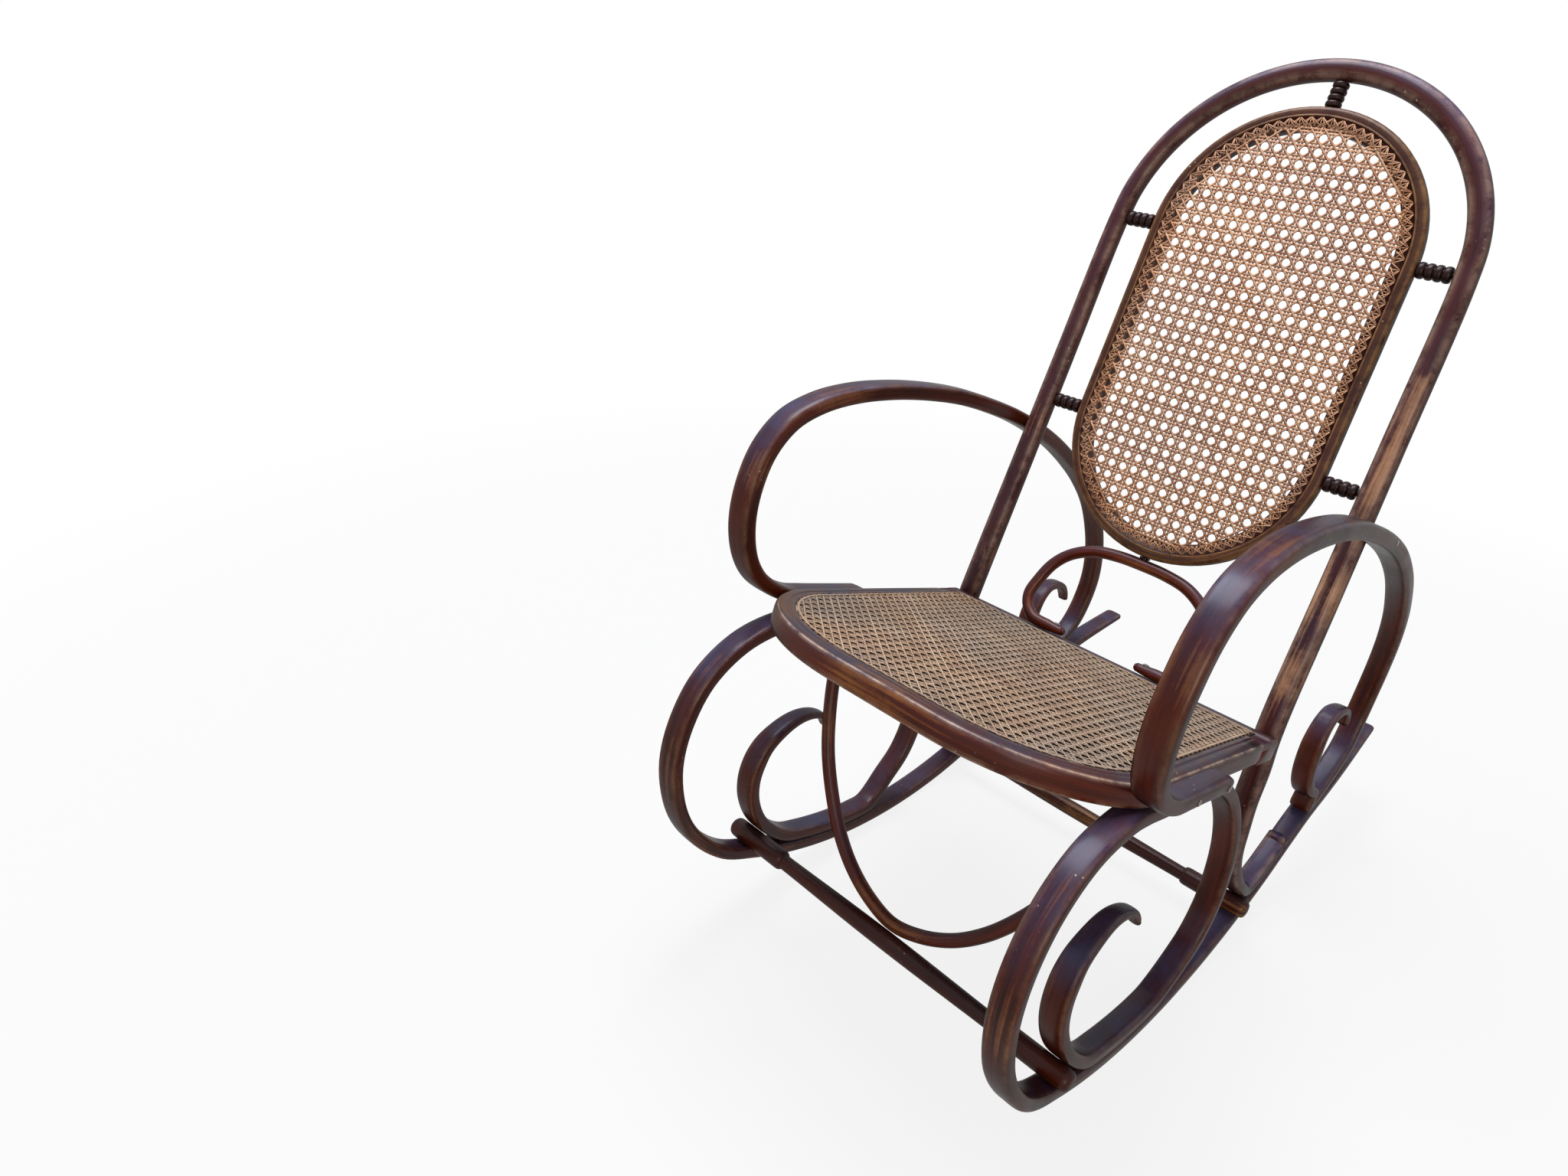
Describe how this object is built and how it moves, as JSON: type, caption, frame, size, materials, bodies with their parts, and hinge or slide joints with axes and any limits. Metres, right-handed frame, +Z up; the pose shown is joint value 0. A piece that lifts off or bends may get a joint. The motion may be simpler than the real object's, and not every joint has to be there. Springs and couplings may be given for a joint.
{
  "type": "bentwood rocking chair",
  "caption": "Bentwood rocking chair with scrolled side runners and arms, a caned seat and an arched back with a caned panel held by beaded turned spacers.",
  "frame": {"origin": "centre of the bounding box at the floor on which the runners rest", "axes": "+Z up, -Y towards the front of the chair, +X towards the sitter's left"},
  "size_m": [0.5414, 1.0888, 1.0722],
  "materials": {
    "bentwood": "dark reddish-brown stained beech, satin polish",
    "turnedwood": "golden-brown worn stained beech, satin polish",
    "darkwood": "near-black stained turnings, satin polish",
    "panelwood": "brown stained beech, satin polish",
    "back_cane": "golden woven cane, matt",
    "seat_cane": "dull brown woven cane, matt"
  },
  "bodies": {
    "root": {"back_hoop": "bentwood", "back_panel_frame": "panelwood", "back_cane": "back_cane", "spacer_upper_left": "darkwood", "spacer_upper_right": "darkwood", "spacer_lower_left": "darkwood", "spacer_lower_right": "darkwood", "spacer_top": "darkwood", "panel_boss": "darkwood", "back_loop": "bentwood", "seat_bow": "bentwood", "seat_rear_rail": "bentwood", "seat_cane": "seat_cane", "front_bow": "turnedwood", "front_stretcher": "turnedwood", "rear_stretcher": "turnedwood", "side_spiral_left": "bentwood", "side_spiral_right": "bentwood", "arm_left": "bentwood", "arm_right": "bentwood"}
  },
  "joints": []
}
